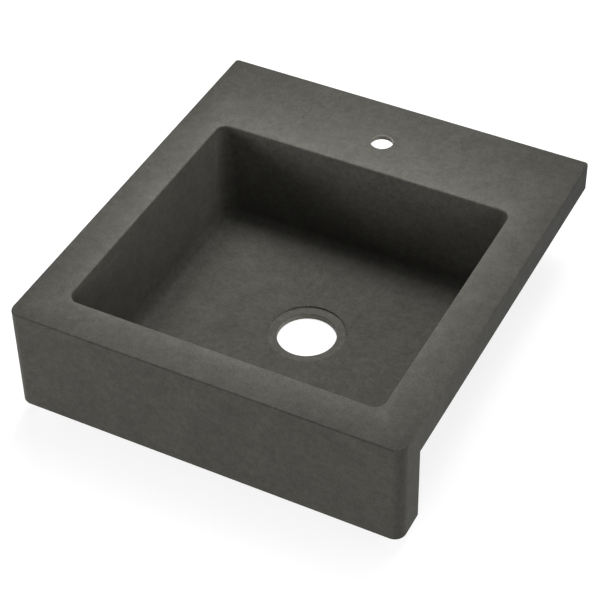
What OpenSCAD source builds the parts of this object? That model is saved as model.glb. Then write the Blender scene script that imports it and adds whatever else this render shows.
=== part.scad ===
// Apron-front single bowl kitchen sink, moulded in one piece, with its sealing strips and swivel fixing clips
// Millimetres, Z up, origin under the middle of the outline, on the surface that the bowl stands on

/* [Deck] */
// Width of the sink across its front
sink_w = 600; // [540:5:700]
// Depth of the sink from the apron's face to the rear edge
sink_d = 660; // [620:5:720]
// Thickness of the deck around the bowl
deck_t = 10; // [8:0.5:14]
// Height of the edge that hangs down at the sides and the rear, from the deck's top
skirt_h = 47; // [40:1:60]
// Thickness of that hanging edge and of the apron
skirt_t = 10; // [8:0.5:12]
// Plan radius of the two front corners
front_corner_r = 17; // [12:1:30]
// Plan radius of the two rear corners
rear_corner_r = 6; // [5:0.5:12]
// Rounding of the deck's outer top edge
edge_r = 3; // [1:0.5:4.5]

/* [Apron] */
// Height of the apron from the deck's top to its lower edge
apron_h = 172; // [120:1:185]
// Depth of the sides that the apron turns back along the cabinet
apron_return = 55; // [36:1:70]

/* [Bowl] */
// Depth of the bowl from the deck's top to its floor
bowl_depth = 182; // [150:1:200]
// Thickness of the bowl's floor
floor_t = 13; // [12:0.5:18]
// Thickness of the bowl's walls
wall_t = 10; // [8:0.5:12]
// Width of the rim on either side of the bowl
rim_side = 60; // [56:1:70]
// Width of the rim in front of the bowl
rim_front = 60; // [50:1:70]
// Depth of the ledge behind the bowl, which carries the tap
ledge_d = 159; // [120:1:180]
// Plan radius of the bowl's corners at the rim
bowl_corner_r = 16; // [10:0.5:24]
// Plan radius of the bowl's corners just above its floor fillet
bowl_foot_r = 27; // [26:0.5:34]
// Radius of the fillet between the walls and the floor
floor_fillet_r = 23; // [15:0.5:26]
// How much each wall leans in from the rim to the foot
wall_lean = 1; // [0:0.25:4]
// Rounding of the bowl's rim
rim_r = 2.5; // [1:0.25:4]

/* [Holes] */
// Diameter of the tap hole
tap_hole_d = 35; // [28:0.5:45]
// Distance from the rear edge to the middle of the tap hole
tap_from_rear = 91; // [70:1:105]
// Rounding of the upper edges of both holes
hole_edge_r = 1; // [0.5:0.25:2]
// Diameter of the drain hole
drain_d = 90; // [60:1:100]
// Distance from the apron's face to the middle of the drain hole
drain_from_front = 313; // [260:1:340]
// Diameter of the shallow seat around the drain hole
seat_d = 119; // [110:1:130]
// Depth of that seat below the floor
seat_depth = 3; // [1.5:0.25:4.5]

/* [Seals] */
// Width of the foam sealing strips under the hanging edge
seal_w = 5; // [3:0.5:6]
// Thickness of the sealing strips
seal_t = 3; // [2:0.25:5]
// Distance from the sink's outer faces to the strips
seal_inset = 3; // [2:0.25:4]

/* [Fixings] */
// Distance from the outer face to a fixing's screw
fixing_inset = 29; // [27:0.5:31]
// Distance from the apron's face to the front fixings
front_fixing = 170; // [120:5:220]
// Distance from the apron's face to the rear side fixings
back_fixing = 470; // [400:5:500]
// Distance from the middle to each of the two fixings along the rear edge
rear_fixing_x = 170; // [110:5:200]
// Thickest worktop that the slack clips swing under
grip_open = 36; // [31:1:40]
// Thickness of the worktop that the clips grip square
worktop_t = 28; // [22:1:34]
// Outer diameter of the bosses that hold the inserts
boss_d = 22; // [18:1:24]
// How far the bosses reach below the hanging edge
boss_drop = 11; // [6:1:16]

/* [Clip] */
// Thickness of the clips' sheet steel
clip_t = 2.5; // [2:0.25:3]
// Width of the clips
clip_w = 18; // [14:0.5:20]
// Inner radius of the clips' bends
clip_bend_r = 2; // [1.5:0.25:3]
// Straight length of the base from its heel bend to the screw
base_back = 6.5; // [6.5:0.25:8]
// Straight length of the base from the screw to its front bend
base_front = 8; // [7:0.25:9]
// Straight length of the sloping step
step_run = 4; // [2:0.25:5]
// Straight length of the arm beyond the step
arm_run = 6.25; // [3:0.25:7.25]
// Straight height of the lip that bites into the worktop
lip_run = 1.5; // [0.5:0.25:3]

/* [Hardware] */
// Thread diameter of the fixing screws
screw_d = 6; // [5:0.5:6]
// Length of the screws under the head
screw_len = 50; // [46:1:55]
// Width of the hexagonal heads across their flats
head_af = 10; // [9:0.5:11]
// Height of the heads
head_h = 4; // [3:0.25:5]
// Outer diameter of the washers
washer_d = 12.5; // [12:0.25:14]
// Thickness of the washers
washer_t = 1.6; // [1:0.1:2]
// Outer diameter of the threaded inserts
insert_d = 10; // [9:0.5:12]
// Length of the threaded inserts
insert_len = 14; // [10:0.5:18]

/* [Hidden] */
$fn = 64;

// Steps around each plan corner, and in each quarter round of a section
corner_steps = 10;
round_steps = 4;
fillet_steps = 8;
// How far a cut runs past the surface that it opens, and an added form into the one that carries it
overrun = 1;
bite = 2;
// Smallest plan radius of a ring
least_r = 0.5;
// Gap between two pieces that lie against each other, and around a screw in its hole
seat_gap = 0.1;
pin_gap = 0.05;
// Spare radius around a screw where it passes freely
free_gap = 0.5;

// Fillet under the deck
under_r = 5;
// Thickness of the ribs, how far their outer ends stay above the hanging edge,
// and how far the rear ones reach below it at the bowl
rib_t = 8;
rib_set = 3;
rear_rib_drop = 40;
// Ribs behind the apron: their place either side of the middle, and how far they stay above the apron's edge
apron_rib_x = 150;
apron_rib_set = 24;
// Depth of the blind hole that takes the screw's end, from the boss's face
screw_room = 32;
// Groove around the middle of an insert
groove_depth = 1;
groove_w = 3;
// Chamfer at the screws' tips and around the inserts' mouths
tip_chamfer = 0.8;

// Levels
sink_h = bowl_depth + floor_t;
deck_under_z = sink_h - deck_t;
skirt_z = sink_h - skirt_h;
apron_z = sink_h - apron_h;
boss_z = skirt_z - boss_drop;

// Plan of the bowl
front_y = -sink_d / 2;
rear_y = sink_d / 2;
bowl_w = sink_w - 2 * rim_side;
bowl_d = sink_d - rim_front - ledge_d;
bowl_y = (rim_front - ledge_d) / 2;
bowl_rear_y = rear_y - ledge_d;
drain_y = front_y + drain_from_front;
tap_y = rear_y - tap_from_rear;
foot_spread = bowl_foot_r - bowl_corner_r;
shell_fillet_r = floor_fillet_r + wall_t;

// The clip's step rises three in four, and the clip stands with its lip grip_open below the seals
step_slope_share = 0.75;
step_angle = atan(step_slope_share);
step_rise = (2 * clip_bend_r + clip_t) * (1 - cos(step_angle)) + step_run * sin(step_angle);
bend_reach = clip_t + clip_bend_r;
lip_top = step_rise + bend_reach + lip_run;
heel_run = lip_top + worktop_t + seal_t - boss_drop - bend_reach;
clip_z = skirt_z - seal_t - grip_open - lip_top;
washer_z = clip_z - seat_gap - washer_t;
head_top_z = washer_z - seat_gap;

// Fixing stations: place of the screw, direction of the nearest outer face, and
// how far from that direction the clip is parked
side_x = sink_w / 2 - fixing_inset;
fixing_y = rear_y - fixing_inset;
left_front = [-side_x, front_y + front_fixing, 180, -90];
left_back = [-side_x, front_y + back_fixing, 180, -90];
right_front = [side_x, front_y + front_fixing, 0, 90];
right_back = [side_x, front_y + back_fixing, 0, 90];
rear_left = [-rear_fixing_x, fixing_y, 90, -90];
rear_right = [rear_fixing_x, fixing_y, 90, 90];
side_stations = [left_front, left_back, right_front, right_back];
rear_stations = [rear_left, rear_right];

// Places of the seals
seal_x = sink_w / 2 - seal_inset;
seal_front_y = front_y + apron_return + seal_inset;
seal_rear_y = rear_y - seal_inset - seal_w;

// One plan corner of a ring
function corner_arc(x, y, r, from, z) = [
    for (i = [0:corner_steps]) let (a = from + 90 * i / corner_steps)
        [x + r * cos(a), y + r * sin(a), z]
];

// Rounded rectangle at height z. Radii run from the front left corner round by the right.
// The outline is drawn in by inset all round, and spread opens its corners further.
function ring(w, d, radii, inset, z, spread) =
    let (x = w / 2 - inset, y = d / 2 - inset)
    let (r = [for (c = radii) max(c + spread - inset, least_r)])
    concat(
        corner_arc(-x + r[0], -y + r[0], r[0], 180, z),
        corner_arc(x - r[1], -y + r[1], r[1], 270, z),
        corner_arc(x - r[2], y - r[2], r[2], 0, z),
        corner_arc(-x + r[3], y - r[3], r[3], 90, z)
    );

// Quarter rounds of a section, as [inset, z, spread] from the bottom up
// A foot runs from a flat floor at z into an upright wall that stands at lean
function foot_round(r, z, lean, spread) = [
    for (i = [0:fillet_steps]) let (a = 90 * i / fillet_steps)
        [lean + r * (1 - sin(a)), z + r * (1 - cos(a)), spread]
];
// A flare runs from an upright wall outwards into a flat face at z
function flare(r, z) = [
    for (i = [0:round_steps]) let (a = 90 * i / round_steps)
        [-r * (1 - cos(a)), z - r * (1 - sin(a)), 0]
];
// A shoulder runs from an upright wall inwards into a flat top at z
function shoulder(r, z) = [
    for (i = [0:round_steps]) let (a = 90 * i / round_steps)
        [r * (1 - cos(a)), z - r * (1 - sin(a)), 0]
];

// Solid whose outline follows a section all round a rounded rectangle, from the bottom up
module swept_block(w, d, radii, section) {
    n = 4 * (corner_steps + 1);
    top = (len(section) - 1) * n;
    points = [for (s = section) each ring(w, d, radii, s[0], s[1], s[2])];
    sides = [
        for (k = [0:len(section) - 2], j = [0:n - 1])
            let (a = k * n + j, b = k * n + (j + 1) % n)
            each [[a, a + n, b + n], [a, b + n, b]]
    ];
    floor_face = [for (j = [0:n - 1]) j];
    top_face = [for (j = [n - 1:-1:0]) top + j];
    polyhedron(points, concat([floor_face], sides, [top_face]));
}

// Deck, hanging edge and apron as one block, rounded at the top, with the space behind the apron cut away
module outer_block() {
    radii = [front_corner_r, front_corner_r, rear_corner_r, rear_corner_r];
    difference() {
        swept_block(sink_w, sink_d, radii, concat([[0, apron_z, 0]], shoulder(edge_r, sink_h)));
        translate([-sink_w / 2 - overrun, front_y + apron_return, apron_z - overrun])
            cube([sink_w + 2 * overrun, sink_d, apron_h - skirt_h + overrun]);
    }
}

// Hollow under the deck, inside the hanging edge and the apron
module under_hollow() {
    inner_w = sink_w - 2 * skirt_t;
    inner_d = sink_d - 2 * skirt_t;
    front_r = front_corner_r - skirt_t;
    section = concat([[0, apron_z - overrun, 0]], shoulder(under_r, deck_under_z));
    swept_block(inner_w, inner_d, [front_r, front_r, under_r, under_r], section);
}

// Outside of the bowl, which runs into the deck with a fillet
module bowl_outside() {
    r = bowl_corner_r + wall_t;
    section = concat(
        foot_round(shell_fillet_r, 0, wall_lean, foot_spread),
        flare(under_r, deck_under_z),
        [[-under_r, deck_under_z + bite, 0]]
    );
    translate([0, bowl_y, 0])
        swept_block(bowl_w + 2 * wall_t, bowl_d + 2 * wall_t, [r, r, r, r], section);
}

// Inside of the bowl, from its floor fillet up to the rounded rim
module bowl_inside() {
    r = bowl_corner_r;
    section = concat(
        foot_round(floor_fillet_r, floor_t, wall_lean, foot_spread),
        flare(rim_r, sink_h),
        [[-rim_r, sink_h + overrun, 0]]
    );
    translate([0, bowl_y, 0]) swept_block(bowl_w, bowl_d, [r, r, r, r], section);
}

// Runs its children at a fixing station, turned so that X points out of the sink
module at_station(s) {
    translate([s[0], s[1], 0]) rotate(s[2]) children();
}

// Rib across the hollow, from the hanging edge or the apron to the bowl's wall.
// X is the outward direction and the outer face stands at edge_x.
module rib(edge_x, reach, outer_z, inner_z) {
    out = edge_x - skirt_t + bite;
    inside = edge_x - reach - bite;
    top = deck_under_z + bite;
    rotate([90, 0, 0]) translate([0, 0, -rib_t / 2]) linear_extrude(rib_t)
        polygon([[out, top], [inside, top], [inside, inner_z], [out, outer_z]]);
}

// Boss that hangs under the deck and takes a threaded insert
module boss() {
    translate([0, 0, boss_z]) cylinder(d = boss_d, h = deck_under_z + bite - boss_z);
}

// Seat of an insert in its boss, with room above it for the screw's end
module insert_seat() {
    translate([0, 0, boss_z - overrun])
        cylinder(r = insert_d / 2 + pin_gap, h = insert_len + seat_gap + overrun);
    translate([0, 0, boss_z]) cylinder(r = screw_d / 2 + free_gap, h = screw_room);
}

// Bosses with the ribs that carry them, and the ribs behind the apron
module bosses_and_ribs() {
    for (s = concat(side_stations, rear_stations)) at_station(s) boss();
    for (s = side_stations) at_station(s)
        rib(fixing_inset, rim_side - wall_t, skirt_z + rib_set, boss_z);
    for (s = rear_stations) at_station(s)
        rib(fixing_inset, ledge_d - wall_t, skirt_z + rib_set, skirt_z - rear_rib_drop);
    for (x = [-apron_rib_x, 0, apron_rib_x]) translate([x, front_y, 0]) rotate(-90)
        rib(0, rim_front - wall_t, apron_z + apron_rib_set, apron_z + apron_rib_set);
}

// Ring cutter that rounds the upper edge of a round hole whose face lies at z
module edge_rounder(hole_r, round_r, z) {
    translate([0, 0, z]) rotate_extrude() difference() {
        translate([hole_r - overrun, -round_r]) square([overrun + round_r, round_r + overrun]);
        translate([hole_r + round_r, -round_r]) circle(round_r);
    }
}

// Tap hole through the ledge
module tap_hole() {
    translate([0, tap_y, 0]) {
        translate([0, 0, deck_under_z - overrun]) cylinder(d = tap_hole_d, h = deck_t + 2 * overrun);
        edge_rounder(tap_hole_d / 2, hole_edge_r, sink_h);
    }
}

// Drain hole with the shallow seat of its strainer
module drain_hole() {
    translate([0, drain_y, 0]) {
        translate([0, 0, -overrun]) cylinder(d = drain_d, h = floor_t + 2 * overrun);
        translate([0, 0, floor_t - seat_depth]) cylinder(d = seat_d, h = seat_depth + overrun);
        edge_rounder(drain_d / 2, hole_edge_r, floor_t - seat_depth);
    }
}

// The moulding: deck, hanging edge, apron, bowl, bosses and ribs in one piece
module sink_body() {
    color([0.36, 0.355, 0.335]) difference() {
        union() {
            difference() {
                outer_block();
                under_hollow();
            }
            bowl_outside();
            bosses_and_ribs();
        }
        bowl_inside();
        tap_hole();
        drain_hole();
        for (s = concat(side_stations, rear_stations)) at_station(s) insert_seat();
    }
}

// Foam sealing strip from one plan corner to the other, under the hanging edge
module seal(from, to) {
    color([0.12, 0.12, 0.12]) translate([from[0], from[1], skirt_z - seal_t])
        cube([to[0] - from[0], to[1] - from[1], seal_t]);
}

module seal_left() seal([-seal_x, seal_front_y], [-seal_x + seal_w, seal_rear_y - seat_gap]);
module seal_right() seal([seal_x - seal_w, seal_front_y], [seal_x, seal_rear_y - seat_gap]);
module seal_rear() seal([-seal_x, seal_rear_y], [seal_x, seal_rear_y + seal_w]);

// Brass insert with a groove that keeps it in the boss, flush with the boss's face
module insert(s) {
    color([0.78, 0.62, 0.32]) at_station(s) translate([0, 0, boss_z]) rotate_extrude()
        difference() {
            translate([screw_d / 2 + pin_gap, 0]) square([insert_d / 2 - screw_d / 2 - pin_gap, insert_len]);
            translate([insert_d / 2 - groove_depth, (insert_len - groove_w) / 2])
                square([groove_depth + overrun, groove_w]);
        }
}

// Hexagon-head screw that hangs from the insert and carries the clip on its washer
module screw(s) {
    color([0.72, 0.72, 0.74]) at_station(s) translate([0, 0, head_top_z]) {
        cylinder(d = screw_d, h = screw_len - tip_chamfer);
        translate([0, 0, screw_len - tip_chamfer])
            cylinder(d1 = screw_d, d2 = screw_d - 2 * tip_chamfer, h = tip_chamfer);
        translate([0, 0, -head_h]) cylinder(d = head_af / cos(30), h = head_h, $fn = 6);
    }
}

// Flat washer between the screw's head and the clip
module washer(s) {
    color([0.66, 0.66, 0.68]) at_station(s) translate([0, 0, washer_z]) difference() {
        cylinder(d = washer_d, h = washer_t);
        translate([0, 0, -overrun]) cylinder(r = screw_d / 2 + free_gap, h = washer_t + 2 * overrun);
    }
}

// Side view of a bend in the clip's strip, entered along X, about the middle of its curve.
// A positive turn bends upwards.
module strip_bend(turn) {
    from = turn > 0 ? -90 : 90 + turn;
    corners = [for (a = [from, from + abs(turn) / 2, from + abs(turn)]) 2 * bend_reach * [cos(a), sin(a)]];
    intersection() {
        difference() {
            circle(bend_reach);
            circle(clip_bend_r);
        }
        polygon(concat([[0, 0]], corners));
    }
}

// Side view of the clip's strip, laid flat by flat along X: each step is a straight run and
// the bend after it
module strip(steps, i = 0) {
    run = steps[i][0];
    turn = steps[i][1];
    square([run, clip_t]);
    if (i + 1 < len(steps)) {
        pivot = turn > 0 ? bend_reach : -clip_bend_r;
        translate([run, pivot]) {
            strip_bend(turn);
            rotate(turn) translate([0, -pivot]) strip(steps, i + 1);
        }
    }
}

// Fixing clip, parked along the sink's edge: heel, base with the screw's hole, step, arm and lip
module clip(s) {
    steps = [
        [heel_run, 90], [base_back + base_front, step_angle], [step_run, -step_angle],
        [arm_run, 90], [lip_run, 0]
    ];
    color([0.7, 0.7, 0.72]) at_station(s) rotate(s[3]) translate([0, 0, clip_z]) difference() {
        rotate([90, 0, 0]) translate([-base_back - bend_reach, heel_run + bend_reach, -clip_w / 2])
            linear_extrude(clip_w) rotate(-90) strip(steps);
        translate([0, 0, -overrun]) cylinder(r = screw_d / 2 + pin_gap, h = clip_t + 2 * overrun);
    }
}

module insert_left_front() insert(left_front);
module insert_left_back() insert(left_back);
module insert_right_front() insert(right_front);
module insert_right_back() insert(right_back);
module insert_rear_left() insert(rear_left);
module insert_rear_right() insert(rear_right);
module screw_left_front() screw(left_front);
module screw_left_back() screw(left_back);
module screw_right_front() screw(right_front);
module screw_right_back() screw(right_back);
module screw_rear_left() screw(rear_left);
module screw_rear_right() screw(rear_right);
module washer_left_front() washer(left_front);
module washer_left_back() washer(left_back);
module washer_right_front() washer(right_front);
module washer_right_back() washer(right_back);
module washer_rear_left() washer(rear_left);
module washer_rear_right() washer(rear_right);
module clip_left_front() clip(left_front);
module clip_left_back() clip(left_back);
module clip_right_front() clip(right_front);
module clip_right_back() clip(right_back);
module clip_rear_left() clip(rear_left);
module clip_rear_right() clip(rear_right);

sink_body();
seal_left();
seal_right();
seal_rear();
insert_left_front();
insert_left_back();
insert_right_front();
insert_right_back();
insert_rear_left();
insert_rear_right();
screw_left_front();
screw_left_back();
screw_right_front();
screw_right_back();
screw_rear_left();
screw_rear_right();
washer_left_front();
washer_left_back();
washer_right_front();
washer_right_back();
washer_rear_left();
washer_rear_right();
clip_left_front();
clip_left_back();
clip_right_front();
clip_right_back();
clip_rear_left();
clip_rear_right();
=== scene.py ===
import math
from functools import reduce

import bmesh
import bpy
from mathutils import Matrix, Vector


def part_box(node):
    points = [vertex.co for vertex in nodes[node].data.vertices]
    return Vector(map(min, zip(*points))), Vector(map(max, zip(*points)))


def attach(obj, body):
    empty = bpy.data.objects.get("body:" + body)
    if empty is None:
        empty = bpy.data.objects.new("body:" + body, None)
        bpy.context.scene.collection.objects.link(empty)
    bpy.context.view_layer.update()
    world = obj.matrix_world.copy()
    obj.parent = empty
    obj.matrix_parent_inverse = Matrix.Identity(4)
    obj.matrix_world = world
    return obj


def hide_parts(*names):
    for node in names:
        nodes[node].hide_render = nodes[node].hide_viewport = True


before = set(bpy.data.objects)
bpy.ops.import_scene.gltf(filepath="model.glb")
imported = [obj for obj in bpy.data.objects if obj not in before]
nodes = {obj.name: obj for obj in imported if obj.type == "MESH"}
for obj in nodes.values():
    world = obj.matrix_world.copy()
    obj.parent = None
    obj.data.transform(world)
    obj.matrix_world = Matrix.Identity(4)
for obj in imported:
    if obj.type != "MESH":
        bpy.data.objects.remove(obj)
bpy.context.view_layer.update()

# Camera, solved from the photograph's straight edges: where it stands, how far it is turned round to the
# right of the sink's front and raised above the level, its lens, with the shift of the picture's centre, and
# the nearest and the farthest that it sees
CAMERA_AT = (0.978, -1.8772, 2.025)
CAMERA_TURN, CAMERA_RISE = math.radians(26.18), math.radians(41.615)
LENS_MM, SENSOR_MM = 117.096, 36.0
SHIFT = (-0.075, -0.0667)
NEAREST, FARTHEST = 0.05, 60.0

# Lights: name, place, size of the panel, power in watts. Each one faces AIM, in the bowl.
LIGHTS = [
    ("top_right", (0.5, 0.5, 2.6), (0.9, 0.9), 18),
    ("back_left", (-0.9, 1.1, 2.4), (1.0, 1.0), 9),
    ("near_left", (-0.35, 0.25, 0.9), (0.3, 0.3), 5),
    ("near_right", (0.25, 0.25, 0.7), (0.3, 0.3), 1.7),
    ("near_front_right", (0.9, -1.0, 0.5), (0.5, 0.5), 1.7),
    ("right", (2.2, 0.0, 1.7), (1.6, 1.0), 9.5),
    ("front_low", (0.0, -2.9, 0.75), (1.8, 0.9), 2.5),
    ("front_right_low", (2.1, -2.1, 0.75), (1.8, 0.9), 19),
    ("front_left_low", (-2.1, -2.1, 0.75), (1.8, 0.9), 63),
    ("rear_low", (0.0, 2.9, 0.4), (1.8, 0.6), 25),
]
AIM = (0.0, 0.0, 0.12)

# Floor: its colour, its glow near the sink where it is seen directly, its half size, how far it lies below
# the sink's foot, and between which distances its glow rises to plain white
FLOOR, FLOOR_GLOW = (0.35, 0.35, 0.35), 0.8
FLOOR_HALF, FLOOR_DROP, FLOOR_NEAR, FLOOR_FAR = 14.0, 0.0002, 1.5, 3.0

# Composite: its colour, how strongly it reflects, its roughness at the smoothest and the roughest, and what
# the unfinished back adds to that
COMPOSITE, GLOSS = (0.0735, 0.0713, 0.0628), 0.06
SMOOTHEST, ROUGHEST, BACK_ROUGHER = 0.52, 0.6, 0.2
# Its clouds, mottling, coarse and fine grain, and chips, one row each: the noise's scale, detail and
# roughness, the stretch of the noise that counts, and the brightness at the two ends of that stretch
MOTTLING = [
    (6.5, 4, 0.5, 0.3, 0.7, 0.955, 1.045),
    (26, 5, 0.6, 0.3, 0.7, 0.92, 1.08),
    (110, 4, 0.65, 0.3, 0.7, 0.86, 1.14),
    (430, 2, 0.7, 0.25, 0.75, 0.77, 1.23),
    (700, 1, 0.5, 0.7, 0.8, 1.0, 1.3),
]
# Width of a rubbed line on its noise's scale, and the brightness in its middle
RUB_WIDTH, RUB_TONE = 0.012, 1.16

# Painted sheen on the deck: its brightness at its outer edges, what is added at the bowl's front and rear
# edges, and how fast that fades
SHEEN_OUT, SHEEN_FRONT, SHEEN_REAR, SHEEN_POWER = 0.88, 0.39, 0.35, 1.8
# The deck's painted shade in its middle, and what is added towards its right end, towards its rear, towards
# both sides, and towards both its front and its rear
SHADE_MIDDLE, SHADE_RIGHT, SHADE_REAR, SHADE_SIDES, SHADE_ENDS = 1.1, -0.03, -0.1, -0.18, -0.14
# Painted shade and light in the bowl: brightness next to 1 of its foot, upright corners and left wall, and of
# its back wall's top and foot
FOOT_TONE, CORNER_TONE, LEFT_WALL_TONE, BACK_WALL_TONE, BACK_FOOT_TONE = 0.76, 0.84, 1.14, 0.86, 0.68
# Painted light and shade: brightness of the bowl's floor at its four sides, and of the sink's right side at
# its two ends
FLOOR_LEFT_TONE, FLOOR_RIGHT_TONE, FLOOR_FRONT_TONE, FLOOR_REAR_TONE = 1.19, 0.97, 1.04, 0.95
# The right side's painted shade, from its front to its rear
SIDE_FRONT_TONE, SIDE_REAR_TONE = 1.03, 0.46
# Brightness of the drain's seat and of the dark line of painted shade at its step, how wide the seat's edge
# is, and how far from the step the line is full and ends
SEAT_TONE, SEAT_LINE_TONE = 1.17, 0.9
SEAT_FADE, SEAT_LINE_FROM, SEAT_LINE_TO = 0.003, 0.0004, 0.0022
# Brightness of the moulding's marked faces: the unfinished back, the rounded edge above the apron, the
# drilled walls, the step round the seat, and the rounded edge above the right side. All but the back are
# painted: a dark line of painted shade on the edge above the apron, and painted light on the others.
MARKS = {"back": 1.3, "front_edge": 0.69, "drilled_wall": 4.4, "seat_step": 3.2, "right_edge": 1.3}

# Depths below the deck's top: its own painted tones are full down to the first and end at the second, and the
# bowl's painted tones start at the third and are full from the fourth
DECK_FULL, DECK_END = 0.0002, 0.0009
BOWL_START, BOWL_FULL = 0.001, 0.004
# How far outside the bowl's rim the bowl's painted tones reach, and how far inside the right edge the side's
# painted tones start and are full
RIM_FADE, SIDE_START, SIDE_FULL = 0.002, 0.0012, 0.0006

# Places on the sink that its finish and its painted light and shade follow: the tap's and the drain's hole,
# the drain's seat, the level of the bowl's floor, the thickness of the deck and its edge, the radius of the
# apron's corners and of the bowl's foot, and how far at least the bowl's rim is from the outline and from the
# rear edge
TAP_FROM_REAR, TAP_R = 0.091, 0.0175
DRAIN_FROM_FRONT, DRAIN_R, SEAT_R, FLOOR_LEVEL = 0.313, 0.045, 0.0595, 0.013
DECK_T, EDGE_T, FRONT_CORNER_R, FOOT_R = 0.01, 0.01, 0.017, 0.023
EDGE_CLEAR, LEDGE_CLEAR = 0.02, 0.115
# How high the rounded edges of the deck are at the front, and how wide at the right
FRONT_ROUND_H, RIGHT_ROUND_W = 0.0035, 0.0032
# How near a point lies to the deck's level to belong to the rim, and how near a face's middle lies to the
# deck's underside, the foot, the bowl's floor, the rim, a drilled wall or the seat's step to belong to it
LEVEL_NEAR, UNDER_NEAR, FOOT_NEAR, FLOOR_LEVEL_NEAR = 0.00001, 0.0004, 0.0002, 0.0005
RIM_NEAR, WALL_NEAR, STEP_NEAR = 0.001, 0.0007, 0.002
# How far faces lean, from -1 facing down over 0 upright to 1 facing up: the least and the most of the two
# rounded edges, the most of a drilled wall and of the seat's step, the most of the underside, and the least
# of the bowl's inside
FRONT_ROUND_LEAN, RIGHT_ROUND_LEAN = (0.25, 0.9), (0.15, 0.95)
WALL_LEAN, STEP_LEAN, UNDER_LEAN, INSIDE_LEAN = 0.3, 0.8, -0.5, -0.02

# Colours of the foam and the metals, and the noise scales of the foam's cells and the zinc's spangles
FOAM_BLACK, FOAM_CELLS = (0.022, 0.022, 0.024), 1500
ZINC, STRIP, SPANGLES = (0.62, 0.62, 0.61), (0.55, 0.555, 0.56), 420
BRASS = (0.62, 0.43, 0.17)

# Foam strip: its rounding as a share of its height, the steps of a rounded corner and of its length, how far
# its sides are drawn in, and the waves along it, each with its radians for a metre and its start
FOAM_ROUND_SHARE, FOAM_ARC_STEPS, FOAM_STEPS, FOAM_PINCH = 0.3, 4, 120, 0.00012
FOAM_WAVES = ((61.0, 0.0), (149.0, 1.7))

# Screw: height, width across flats and sides of its head, the thread's outer and root diameter, its pitch
# and run-out, the flat share of its crest, its sides and its rows for each turn, and how far the shank starts
# inside the head
HEAD_H, HEAD_AF, HEAD_SIDES = 0.004, 0.010, 72
THREAD_D, ROOT_D, PITCH = 0.006, 0.00485, 0.001
RUN_OUT, CREST_FLAT_SHARE, THREAD_SIDES, THREAD_ROWS = 1.5 * PITCH, 0.15, 20, 4
SHANK_OVERLAP = 0.0002
# The head's levels from its outer end: share of its height, and greatest reach next to half the width across
# flats
HEAD_LEVEL_SHARES = [(0.0, 0.9), (0.03, 0.93), (0.08, 0.985), (0.14, 1.05), (0.2, 1.11), (0.27, 1.2),
                     (0.93, 1.2), (0.93, 0.96), (1.0, 0.95)]

# Washer: its bore, the rounding of its edges on one side, the burr on the other, how much of the rounding is
# left at its middle point, and its sides
WASHER_BORE, WASHER_ROUND, BURR, ROUND_SHARE, WASHER_SIDES = 0.007, 0.0003, 0.0001, 0.3, 64

# Softened edges: widths on the moulding and the clips, segments, and the least angle that counts as an edge
SHELL_ROUND, CLIP_ROUND, ROUND_SEGMENTS, EDGE_ANGLE = 0.0009, 0.0003, 2, math.radians(40)
# Welding: points nearer than this are one, and faces flatter than this are joined
WELD, FLAT_ANGLE = 0.000002, math.radians(0.2)

PLACES = ("left_front", "left_back", "right_front", "right_back", "rear_left", "rear_right")


# Small helpers
def linked(name, mesh, mat, body, replaced):
    ob = bpy.data.objects.new(name, mesh)
    bpy.context.scene.collection.objects.link(ob)
    ob.data.materials.append(mat)
    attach(ob, body)
    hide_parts(replaced)
    return ob


def mesh_from(bm, name):
    mesh = bpy.data.meshes.new(name)
    bm.normal_update()
    bm.to_mesh(mesh)
    bm.free()
    for p in mesh.polygons:
        p.use_smooth = True
    return mesh


def welded_copy(node_name, name):
    """The node's mesh as one closed surface, with the triangles of each flat face joined."""
    bm = bmesh.new()
    bm.from_mesh(nodes[node_name].data)
    bmesh.ops.remove_doubles(bm, verts=bm.verts, dist=WELD)
    bmesh.ops.dissolve_limit(bm, angle_limit=FLAT_ANGLE, verts=bm.verts, edges=bm.edges)
    return mesh_from(bm, name)


def keep_flat(ob):
    """Lets large flat faces keep their own shading beside rounded edges."""
    ob.modifiers.new("shade", "WEIGHTED_NORMAL")


def soften(ob, width):
    """Rounds the sharp edges by width."""
    bevel = ob.modifiers.new("edge", "BEVEL")
    bevel.width = width
    bevel.segments = ROUND_SEGMENTS
    bevel.limit_method = "ANGLE"
    bevel.angle_limit = EDGE_ANGLE
    keep_flat(ob)


def vert_at(bm, middle, r, angle, z):
    return bm.verts.new((middle.x + r * math.cos(angle), middle.y + r * math.sin(angle), z))


def skin(bm, rings):
    """Joins each ring of points to the next."""
    for a, b in zip(rings, rings[1:]):
        for i in range(len(a)):
            j = (i + 1) % len(a)
            bm.faces.new((a[i], a[j], b[j], b[i]))


def fan(bm, ring, middle, z, up):
    """Closes a ring with triangles round a middle point, facing up or down."""
    c = bm.verts.new((middle.x, middle.y, z))
    for i in range(len(ring)):
        pair = (ring[i], ring[(i + 1) % len(ring)])
        bm.faces.new((c, *(pair if up else reversed(pair))))


def turned(bm, rings, middle, z0, z1):
    """A closed solid from level rings, the first at z0 and the last at z1."""
    fan(bm, rings[0], middle, z0, up=False)
    skin(bm, rings)
    fan(bm, rings[-1], middle, z1, up=True)


# Shader helpers
def material(name):
    mat = bpy.data.materials.new(name)
    mat.use_nodes = True
    tree = mat.node_tree
    return mat, tree, tree.nodes["Principled BSDF"]


def noise(tree, coords, scale, detail=4.0, rough=0.55, distortion=0.0):
    n = tree.nodes.new("ShaderNodeTexNoise")
    n.inputs["Scale"].default_value = scale
    n.inputs["Detail"].default_value = detail
    n.inputs["Roughness"].default_value = rough
    n.inputs["Distortion"].default_value = distortion
    tree.links.new(coords, n.inputs["Vector"])
    return n.outputs["Fac"]


def cells(tree, coords, scale):
    n = tree.nodes.new("ShaderNodeTexVoronoi")
    n.inputs["Scale"].default_value = scale
    tree.links.new(coords, n.inputs["Vector"])
    return n.outputs["Distance"]


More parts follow.
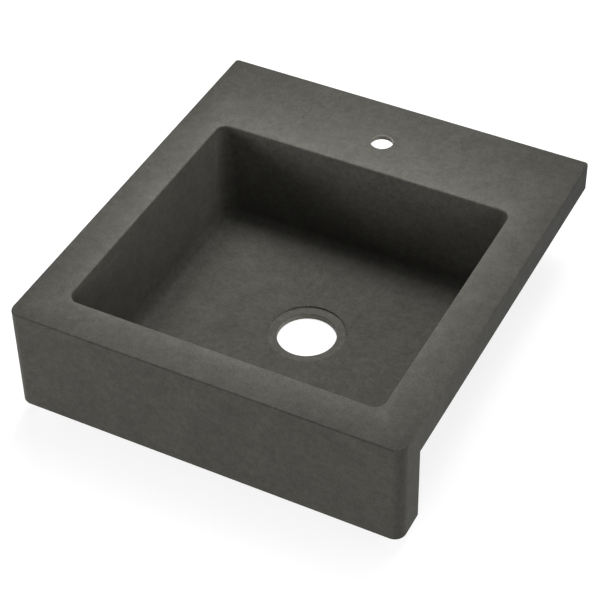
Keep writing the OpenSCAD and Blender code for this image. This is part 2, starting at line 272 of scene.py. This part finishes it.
def remap(tree, value, a, b, c, d):
    """c where value is a, d where it is b, and a straight run between them."""
    n = tree.nodes.new("ShaderNodeMapRange")
    tree.links.new(value, n.inputs["Value"])
    for k, v in zip(("From Min", "From Max", "To Min", "To Max"), (a, b, c, d)):
        n.inputs[k].default_value = v
    return n.outputs["Result"]


def maths(tree, operation, *values):
    """A sum or other operation on values that are sockets or plain numbers."""
    n = tree.nodes.new("ShaderNodeMath")
    n.operation = operation
    for x, socket in zip(values, n.inputs):
        if hasattr(x, "is_linked"):
            tree.links.new(x, socket)
        else:
            socket.default_value = x
    return n.outputs[0]


def product(tree, *values):
    return reduce(lambda a, b: maths(tree, "MULTIPLY", a, b), values)


def toned(tree, where, change):
    """1 away from a place, and 1 + change on it."""
    return maths(tree, "ADD", 1.0, product(tree, where, change))


def tint(tree, colour, value):
    """colour times a grey value, as a colour."""
    n = tree.nodes.new("ShaderNodeVectorMath")
    n.operation = "SCALE"
    n.inputs[0].default_value = colour
    tree.links.new(value, n.inputs["Scale"])
    return n.outputs[0]


def distance_to(tree, at, point):
    n = tree.nodes.new("ShaderNodeVectorMath")
    n.operation = "DISTANCE"
    tree.links.new(at, n.inputs[0])
    n.inputs[1].default_value = point
    return n.outputs["Value"]


def bump(tree, height, distance, strength, under=None):
    n = tree.nodes.new("ShaderNodeBump")
    n.inputs["Distance"].default_value = distance
    n.inputs["Strength"].default_value = strength
    tree.links.new(height, n.inputs["Height"])
    if under is not None:
        tree.links.new(under, n.inputs["Normal"])
    return n.outputs["Normal"]


def object_coords(tree):
    return tree.nodes.new("ShaderNodeTexCoord").outputs["Object"]


def parts(tree, vector):
    """The x, y and z of a vector."""
    n = tree.nodes.new("ShaderNodeSeparateXYZ")
    tree.links.new(vector, n.inputs[0])
    return n.outputs


def stretched(tree, coords, scale):
    n = tree.nodes.new("ShaderNodeMapping")
    n.vector_type = "TEXTURE"
    tree.links.new(coords, n.inputs["Vector"])
    n.inputs["Scale"].default_value = scale
    return n.outputs["Vector"]


def attribute(tree, name):
    n = tree.nodes.new("ShaderNodeAttribute")
    n.attribute_name = name
    return n.outputs["Fac"]


# The moulding: its mesh, and where its top and the bowl's rim lie
deck_lo, deck_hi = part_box("sink_body")
shell_mesh = welded_copy("sink_body", "sink_shell")
rim = [v.co for v in shell_mesh.vertices
       if v.co.z > deck_hi.z - LEVEL_NEAR and abs(v.co.x) < deck_hi.x - EDGE_CLEAR
       and deck_lo.y + EDGE_CLEAR < v.co.y < deck_hi.y - LEDGE_CLEAR]
rim_x = max(v.x for v in rim)
rim_front, rim_rear = min(v.y for v in rim), max(v.y for v in rim)
drain = Vector((0.0, deck_lo.y + DRAIN_FROM_FRONT, FLOOR_LEVEL))
tap = Vector((0.0, deck_hi.y - TAP_FROM_REAR, deck_hi.z))


# Finish of the moulding, with painted light and shade
def composite_material():
    """Matt quartz composite: clouds, mottling, fine grain, pale chips, chalky rubs and a dusty back, with
    painted sheen, light and shade.
    """
    mat, tree, bsdf = material("composite")
    at = object_coords(tree)
    shades = [remap(tree, noise(tree, at, *row[:3]), *row[3:]) for row in MOTTLING]
    shades += [rubbed_lines(tree, at), painted_deck_sheen(tree, at), drain_seat(tree, at), bowl_painted_light_and_shade(tree, at),
               right_side_painted_shade(tree, at)]
    shades += [remap(tree, attribute(tree, name), 0.0, 1.0, 1.0, gain) for name, gain in MARKS.items()]
    tree.links.new(tint(tree, COMPOSITE, product(tree, *shades)), bsdf.inputs["Base Color"])
    rough = remap(tree, noise(tree, at, 45, 4, 0.6), 0.3, 0.7, SMOOTHEST, ROUGHEST)
    rough = maths(tree, "ADD", rough, product(tree, attribute(tree, "back"), BACK_ROUGHER))
    tree.links.new(rough, bsdf.inputs["Roughness"])
    bsdf.inputs["Specular IOR Level"].default_value = GLOSS
    swell = bump(tree, noise(tree, at, 55, 3, 0.5), 0.0006, 0.25)
    tree.links.new(bump(tree, noise(tree, at, 600, 3, 0.65), 0.0003, 0.5, swell), bsdf.inputs["Normal"])
    return mat


def rubbed_lines(tree, at):
    """Faint pale curved lines, a few here and there, as left by wiping and handling."""
    field = noise(tree, at, 7.5, 2, 0.45, 0.9)
    off = maths(tree, "ABSOLUTE", maths(tree, "SUBTRACT", field, 0.5))
    line = remap(tree, off, 0.0, RUB_WIDTH, 1.0, 0.0)
    where = remap(tree, noise(tree, at, 11, 2, 0.5), 0.52, 0.66, 0.0, 1.0)
    broken = remap(tree, noise(tree, at, 240, 2, 0.6), 0.35, 0.65, 0.3, 1.0)
    return toned(tree, product(tree, line, where, broken), RUB_TONE - 1.0)


def painted_deck_sheen(tree, at):
    """Painted sheen: the deck is a little paler at the bowl and darker towards its outer edges."""
    x, y, z = parts(tree, at)
    aside = remap(tree, maths(tree, "ABSOLUTE", x), rim_x, deck_hi.x, 0.0, 1.0)
    behind = remap(tree, y, rim_rear, deck_hi.y, 0.0, 1.0)
    before = remap(tree, y, rim_front, deck_lo.y, 0.0, 1.0)
    away = maths(tree, "MAXIMUM", aside, maths(tree, "MAXIMUM", behind, before))
    near = maths(tree, "POWER", maths(tree, "SUBTRACT", 1.0, away), SHEEN_POWER)
    added = remap(tree, y, rim_front, rim_rear, SHEEN_FRONT, SHEEN_REAR)
    sheen = maths(tree, "ADD", product(tree, near, added), SHEEN_OUT)
    change = maths(tree, "SUBTRACT", product(tree, sheen, painted_deck_shade(tree, x, y)), 1.0)
    on_deck = remap(tree, z, deck_hi.z - DECK_END, deck_hi.z - DECK_FULL, 0.0, 1.0)
    return toned(tree, on_deck, change)


def painted_deck_shade(tree, x, y):
    """Painted shade: the deck's paler middle and darker ends."""
    u, v = maths(tree, "DIVIDE", x, deck_hi.x), maths(tree, "DIVIDE", y, deck_hi.y)
    terms = [product(tree, u, SHADE_RIGHT), product(tree, v, SHADE_REAR), product(tree, u, u, SHADE_SIDES),
             product(tree, v, v, SHADE_ENDS)]
    return reduce(lambda a, b: maths(tree, "ADD", a, b), terms, SHADE_MIDDLE)


def drain_seat(tree, at):
    """The seat round the drain is paler, inside a soft dark line of painted shade at its step."""
    r = distance_to(tree, at, drain)
    paler = remap(tree, r, SEAT_R - SEAT_FADE, SEAT_R, SEAT_TONE, 1.0)
    off = maths(tree, "ABSOLUTE", maths(tree, "SUBTRACT", r, SEAT_R))
    return product(tree, paler, remap(tree, off, SEAT_LINE_FROM, SEAT_LINE_TO, SEAT_LINE_TONE, 1.0))


def bowl_painted_light_and_shade(tree, at):
    """Painted light and shade on the bowl's walls and floor, which end at its rim."""
    x, y, z = parts(tree, at)
    across = maths(tree, "SUBTRACT", rim_x, maths(tree, "ABSOLUTE", x))
    below = remap(tree, z, deck_hi.z - BOWL_FULL, deck_hi.z - BOWL_START, 1.0, 0.0)
    between = remap(tree, across, -RIM_FADE, 0.0, 0.0, 1.0)
    behind_front = remap(tree, y, rim_front - RIM_FADE, rim_front, 0.0, 1.0)
    tone = product(tree, bowl_wall_painted_shade_and_light(tree, x, y, z, across), bowl_floor_painted_light_and_shade(tree, x, y, z))
    return toned(tree, product(tree, below, between, behind_front), maths(tree, "SUBTRACT", tone, 1.0))


def bowl_wall_painted_shade_and_light(tree, x, y, z, across):
    """Painted shade and light: the bowl's foot, upright corners and back wall are darker, and its left wall
    is paler.
    """
    near, far = FOOT_R / 3, FOOT_R
    off_foot = maths(tree, "ABSOLUTE", maths(tree, "SUBTRACT", z, FLOOR_LEVEL + near))
    foot = remap(tree, off_foot, 0.0, FOOT_R / 2, FOOT_TONE, 1.0)
    along = maths(tree, "SUBTRACT", rim_rear, y)
    corner = remap(tree, maths(tree, "MAXIMUM", across, along), near, far, CORNER_TONE, 1.0)
    on_left = remap(tree, x, far - rim_x, near - rim_x, 0.0, 1.0)
    left = remap(tree, z, FLOOR_LEVEL + near, FLOOR_LEVEL + FOOT_R * 2, 0.0, LEFT_WALL_TONE - 1.0)
    on_back = remap(tree, along, near, far, 1.0, 0.0)
    back = remap(tree, z, FLOOR_LEVEL + FOOT_R, deck_hi.z, BACK_FOOT_TONE - 1.0, BACK_WALL_TONE - 1.0)
    return product(tree, foot, corner, toned(tree, on_left, left), toned(tree, on_back, back))


def bowl_floor_painted_light_and_shade(tree, x, y, z):
    """Painted light and shade: the bowl's floor is paler at its left and its front."""
    aside = remap(tree, x, -rim_x, rim_x, FLOOR_LEFT_TONE - 1.0, FLOOR_RIGHT_TONE - 1.0)
    behind = remap(tree, y, rim_front, rim_rear, FLOOR_FRONT_TONE - 1.0, FLOOR_REAR_TONE - 1.0)
    flat = remap(tree, z, FLOOR_LEVEL, FLOOR_LEVEL + FOOT_R / 3, 1.0, 0.0)
    return toned(tree, flat, maths(tree, "ADD", aside, behind))


def right_side_painted_shade(tree, at):
    """Painted shade: the right side is darker towards its rear."""
    x, y, _ = parts(tree, at)
    side = remap(tree, y, rim_front, deck_hi.y, SIDE_FRONT_TONE - 1.0, SIDE_REAR_TONE - 1.0)
    return toned(tree, remap(tree, x, deck_hi.x - SIDE_START, deck_hi.x - SIDE_FULL, 0.0, 1.0), side)


# Marked faces of the moulding: c is a face's middle and n the way it faces
def on_back(c, n):
    """The underside, the outside of the bowl and the hollow behind the apron and the edges."""
    in_hollow = (deck_lo.x + EDGE_T < c.x < deck_hi.x - EDGE_T
                 and deck_lo.y + EDGE_T < c.y < deck_hi.y - EDGE_T
                 and c.z < deck_hi.z - DECK_T + UNDER_NEAR)
    in_bowl = (abs(c.x) < rim_x + RIM_NEAR and rim_front - RIM_NEAR < c.y < rim_rear + RIM_NEAR
               and c.z > FOOT_NEAR and n.z > INSIDE_LEAN)
    return n.z < UNDER_LEAN or (in_hollow and not in_bowl)


def on_front_edge(c, n):
    """The rounded edge above the apron, which gets a dark line of painted shade, fading out at the right
    corner.
    """
    least, most = FRONT_ROUND_LEAN
    rounded = c.y < deck_lo.y + FRONT_CORNER_R and c.z > deck_hi.z - FRONT_ROUND_H and least < n.z < most
    return rounded * min(1.0, max(0.0, (deck_hi.x - c.x) / FRONT_CORNER_R))


def on_right_edge(c, n):
    """The rounded edge above the right side, behind the apron's corner, which gets painted light."""
    least, most = RIGHT_ROUND_LEAN
    return c.x > deck_hi.x - RIGHT_ROUND_W and c.y > deck_lo.y + FRONT_CORNER_R and least < n.z < most


def on_drilled_wall(c, n):
    """The walls of the drain's and the tap's hole, which get painted light."""
    in_drain = abs((c.xy - drain.xy).length - DRAIN_R) < WALL_NEAR and c.z < FLOOR_LEVEL
    in_tap = abs((c.xy - tap.xy).length - TAP_R) < WALL_NEAR
    return abs(n.z) < WALL_LEAN and (in_drain or in_tap)


def on_seat_step(c, n):
    """The step at the outer edge of the drain's seat, which gets painted light."""
    at_step = abs((c.xy - drain.xy).length - SEAT_R) < STEP_NEAR and c.z < FLOOR_LEVEL + FLOOR_LEVEL_NEAR
    return abs(n.z) < STEP_LEAN and at_step


def mark_faces(mesh):
    """Gives each face a value from 0 to 1 for each of the MARKS, which the composite reads by name."""
    tests = {"back": on_back, "front_edge": on_front_edge, "drilled_wall": on_drilled_wall,
             "seat_step": on_seat_step, "right_edge": on_right_edge}
    for name in tests:
        mesh.attributes.new(name, "FLOAT", "FACE")
    for name, test in tests.items():
        data = mesh.attributes[name].data
        for p in mesh.polygons:
            data[p.index].value = float(test(p.center, p.normal))


# Finish of the foam and the metal
def foam_material():
    mat, tree, bsdf = material("sealing_foam")
    at = object_coords(tree)
    hollow = cells(tree, at, FOAM_CELLS)
    shade = product(tree, remap(tree, hollow, 0.0, 0.6, 0.7, 1.25),
                    remap(tree, noise(tree, at, 120, 3), 0.3, 0.7, 0.85, 1.15))
    tree.links.new(tint(tree, FOAM_BLACK, shade), bsdf.inputs["Base Color"])
    bsdf.inputs["Roughness"].default_value = 0.92
    tree.links.new(bump(tree, hollow, 0.0003, 0.6), bsdf.inputs["Normal"])
    return mat


def zinc_material(name, colour, brush):
    """Bright zinc plate on steel: brush says how its fine lines run, from the forming or turning."""
    mat, tree, bsdf = material(name)
    at = object_coords(tree)
    lines = noise(tree, stretched(tree, at, brush), 900, 3, 0.6)
    stain = noise(tree, at, 90, 5, 0.6)
    value = product(tree, remap(tree, lines, 0.3, 0.7, 0.93, 1.07), remap(tree, stain, 0.35, 0.7, 1.04, 0.86))
    tree.links.new(tint(tree, colour, value), bsdf.inputs["Base Color"])
    bsdf.inputs["Metallic"].default_value = 1.0
    tree.links.new(remap(tree, stain, 0.3, 0.7, 0.27, 0.42), bsdf.inputs["Roughness"])
    swell = bump(tree, cells(tree, at, SPANGLES), 0.00012, 0.15)
    tree.links.new(bump(tree, lines, 0.00008, 0.3, swell), bsdf.inputs["Normal"])
    return mat


def brass_material():
    mat, tree, bsdf = material("turned_brass")
    at = object_coords(tree)
    stain = noise(tree, at, 160, 4, 0.6)
    value = remap(tree, stain, 0.3, 0.7, 1.05, 0.8)
    tree.links.new(tint(tree, BRASS, value), bsdf.inputs["Base Color"])
    bsdf.inputs["Metallic"].default_value = 1.0
    tree.links.new(remap(tree, stain, 0.3, 0.7, 0.28, 0.45), bsdf.inputs["Roughness"])
    tree.links.new(bump(tree, noise(tree, at, 1200, 2), 0.00005, 0.3), bsdf.inputs["Normal"])
    return mat


foam = foam_material()
zinc = zinc_material("zinc_plate", ZINC, (1, 1, 8))
strip_steel = zinc_material("strip_steel", STRIP, (8, 8, 1))
brass = brass_material()
composite = composite_material()


# Pieces
def foam_strip(name, node_name):
    """Closed-cell foam: flat where it is stuck on, softly rounded below, slightly uneven at its sides."""
    lo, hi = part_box(node_name)
    along = 0 if hi.x - lo.x > hi.y - lo.y else 1
    across = 1 - along
    w, h = hi[across] - lo[across], hi.z - lo.z
    r = FOAM_ROUND_SHARE * h
    quarter = [math.pi / 2 * i / FOAM_ARC_STEPS for i in range(FOAM_ARC_STEPS + 1)]
    arc = [(math.cos(a), math.sin(a)) for a in quarter]
    # Outline across the strip: down one side, round both lower corners and up the other side
    section = [(0.0, h), (0.0, r)] + [(r - r * c, r - r * s) for c, s in arc[1:]]
    section += [(w - r + r * s, r - r * c) for c, s in arc[:-1]] + [(w, r), (w, h)]
    bm = bmesh.new()
    rings = []
    for i in range(FOAM_STEPS + 1):
        t = lo[along] + (hi[along] - lo[along]) * i / FOAM_STEPS
        wave = FOAM_PINCH * sum(math.sin(t * turn + start) for turn, start in FOAM_WAVES) / len(FOAM_WAVES)
        ring = []
        for u, z in section:
            pinch = (1 - z / h) * (FOAM_PINCH + wave)
            u = u + pinch if u < w / 2 else u - pinch
            p = [0.0, 0.0, lo.z + z]
            p[along], p[across] = t, lo[across] + u
            ring.append(bm.verts.new(p))
        rings.append(ring)
    skin(bm, rings)
    bm.faces.new(rings[0])
    bm.faces.new(list(reversed(rings[-1])))
    bmesh.ops.recalc_face_normals(bm, faces=bm.faces)
    ob = linked(name, mesh_from(bm, name), foam, "sink", node_name)
    keep_flat(ob)


def hexagon_head(bm, middle, z0, z1):
    """Head of a screw with its corners turned off at the outer end, and a washer face at the inner one."""
    rings = []
    for share, reach in HEAD_LEVEL_SHARES:
        ring = []
        for i in range(HEAD_SIDES):
            a = 2 * math.pi * i / HEAD_SIDES
            off_flat = (a + math.pi / 6) % (math.pi / 3) - math.pi / 6
            r = HEAD_AF / 2 * min(1 / math.cos(off_flat), reach)
            ring.append(vert_at(bm, middle, r, a, z0 + (z1 - z0) * share))
        rings.append(ring)
    turned(bm, rings, middle, z0, z1)


def thread(bm, middle, z0, z1):
    """Shank with a true helical thread, run out at both ends."""
    steps = int((z1 - z0) / PITCH * THREAD_ROWS)
    rings = []
    for k in range(steps + 1):
        z = z0 + (z1 - z0) * k / steps
        fade = min(1.0, (z - z0) / RUN_OUT, (z1 - z) / RUN_OUT)
        ring = []
        for i in range(THREAD_SIDES):
            phase = (z / PITCH - i / THREAD_SIDES) % 1.0
            crest = 1 - abs(2 * phase - 1)
            crest = min(1.0, max(0.0, (crest - CREST_FLAT_SHARE) / (1 - 2 * CREST_FLAT_SHARE)))
            r = (ROOT_D + (THREAD_D - ROOT_D) * crest * fade) / 2
            ring.append(vert_at(bm, middle, r, 2 * math.pi * i / THREAD_SIDES, z))
        rings.append(ring)
    turned(bm, rings, middle, z0, z1)


def screw_piece(name, node_name):
    lo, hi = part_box(node_name)
    middle = (lo + hi) / 2
    bm = bmesh.new()
    hexagon_head(bm, middle, lo.z, lo.z + HEAD_H)
    thread(bm, middle, lo.z + HEAD_H - SHANK_OVERLAP, hi.z)
    linked(name, mesh_from(bm, name), zinc, "sink", node_name)


def washer_piece(name, node_name):
    """Stamped washer: one side rounded over by the punch, the other with a slight burr."""
    lo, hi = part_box(node_name)
    middle, outer = (lo + hi) / 2, (hi.x - lo.x) / 2
    inner, h, r = WASHER_BORE / 2, hi.z - lo.z, WASHER_ROUND
    part = ROUND_SHARE * r
    section = [(inner + BURR, 0), (inner, BURR), (inner, h - r), (inner + part, h - part), (inner + r, h),
               (outer - r, h), (outer - part, h - part), (outer, h - r), (outer, BURR), (outer - BURR, 0)]
    bm = bmesh.new()
    rings = []
    for i in range(WASHER_SIDES):
        a = 2 * math.pi * i / WASHER_SIDES
        rings.append([vert_at(bm, middle, u, a, lo.z + z) for u, z in section])
    skin(bm, rings + rings[:1])
    bmesh.ops.recalc_face_normals(bm, faces=bm.faces)
    keep_flat(linked(name, mesh_from(bm, name), zinc, "sink", node_name))


def clip_piece(name, node_name, body):
    ob = linked(name, welded_copy(node_name, name), strip_steel, body, node_name)
    soften(ob, CLIP_ROUND)


mark_faces(shell_mesh)
shell = linked("sink_shell", shell_mesh, composite, "sink", "sink_body")
soften(shell, SHELL_ROUND)

for side in ("left", "right", "rear"):
    foam_strip(f"foam_{side}", f"seal_{side}")

for place in PLACES:
    screw_piece(f"bolt_{place}", f"screw_{place}")
    washer_piece(f"flat_washer_{place}", f"washer_{place}")
    clip_piece(f"swivel_clip_{place}", f"clip_{place}", f"{place}_clip")
    insert = nodes[f"insert_{place}"]
    insert.data.materials.clear()
    insert.data.materials.append(brass)


# Floor, light and camera
def seen_directly(tree):
    """1 where the camera sees it, straight, mirrored or through glass, and 0 where it lights the sink."""
    path = tree.nodes.new("ShaderNodeLightPath")
    rays = [path.outputs[f"Is {kind} Ray"] for kind in ("Camera", "Glossy", "Transmission")]
    return reduce(lambda a, b: maths(tree, "MAXIMUM", a, b), rays)


def floor_material():
    """Matt pale ground that takes the sink's shadow, with a glow where it is seen directly."""
    mat, tree, bsdf = material("floor")
    tree.nodes.remove(bsdf)
    matt = tree.nodes.new("ShaderNodeBsdfDiffuse")
    matt.inputs["Color"].default_value = (*FLOOR, 1.0)
    glow = tree.nodes.new("ShaderNodeEmission")
    away = distance_to(tree, object_coords(tree), (0.0, 0.0, 0.0))
    strength = remap(tree, away, FLOOR_NEAR, FLOOR_FAR, FLOOR_GLOW, 1.0)
    tree.links.new(product(tree, seen_directly(tree), strength), glow.inputs["Strength"])
    both = tree.nodes.new("ShaderNodeAddShader")
    tree.links.new(matt.outputs[0], both.inputs[0])
    tree.links.new(glow.outputs[0], both.inputs[1])
    tree.links.new(both.outputs[0], tree.nodes["Material Output"].inputs["Surface"])
    return mat


def stage_floor():
    mesh = bpy.data.meshes.new("floor")
    s, z = FLOOR_HALF, -FLOOR_DROP
    mesh.from_pydata([(-s, -s, z), (s, -s, z), (s, s, z), (-s, s, z)], [], [(0, 1, 2, 3)])
    mesh.materials.append(floor_material())
    floor = bpy.data.objects.new("floor", mesh)
    bpy.context.scene.collection.objects.link(floor)


def sky():
    """White behind the sink, and dark where it would light it."""
    world = bpy.data.worlds.new("studio")
    bpy.context.scene.world = world
    world.use_nodes = True
    tree = world.node_tree
    back = tree.nodes["Background"]
    back.inputs["Color"].default_value = (1.0, 1.0, 1.0, 1.0)
    tree.links.new(seen_directly(tree), back.inputs["Strength"])


def panel(name, place, size, power):
    data = bpy.data.lights.new(name, "AREA")
    data.shape = "RECTANGLE"
    data.size, data.size_y = size
    data.energy = power
    ob = bpy.data.objects.new(name, data)
    ob.location = place
    ob.visible_camera = False
    ob.rotation_mode = "QUATERNION"
    ob.rotation_quaternion = (Vector(AIM) - Vector(place)).to_track_quat("-Z", "Y")
    bpy.context.scene.collection.objects.link(ob)


def camera():
    data = bpy.data.cameras.new("camera")
    data.lens = LENS_MM
    data.sensor_width = SENSOR_MM
    data.shift_x, data.shift_y = SHIFT
    data.clip_start, data.clip_end = NEAREST, FARTHEST
    ob = bpy.data.objects.new("camera", data)
    ob.location = CAMERA_AT
    ob.rotation_euler = (math.pi / 2 - CAMERA_RISE, 0.0, CAMERA_TURN)
    bpy.context.scene.collection.objects.link(ob)
    bpy.context.scene.camera = ob


stage_floor()
sky()
for light in LIGHTS:
    panel(*light)
camera()
bpy.context.scene.view_settings.view_transform = "Standard"
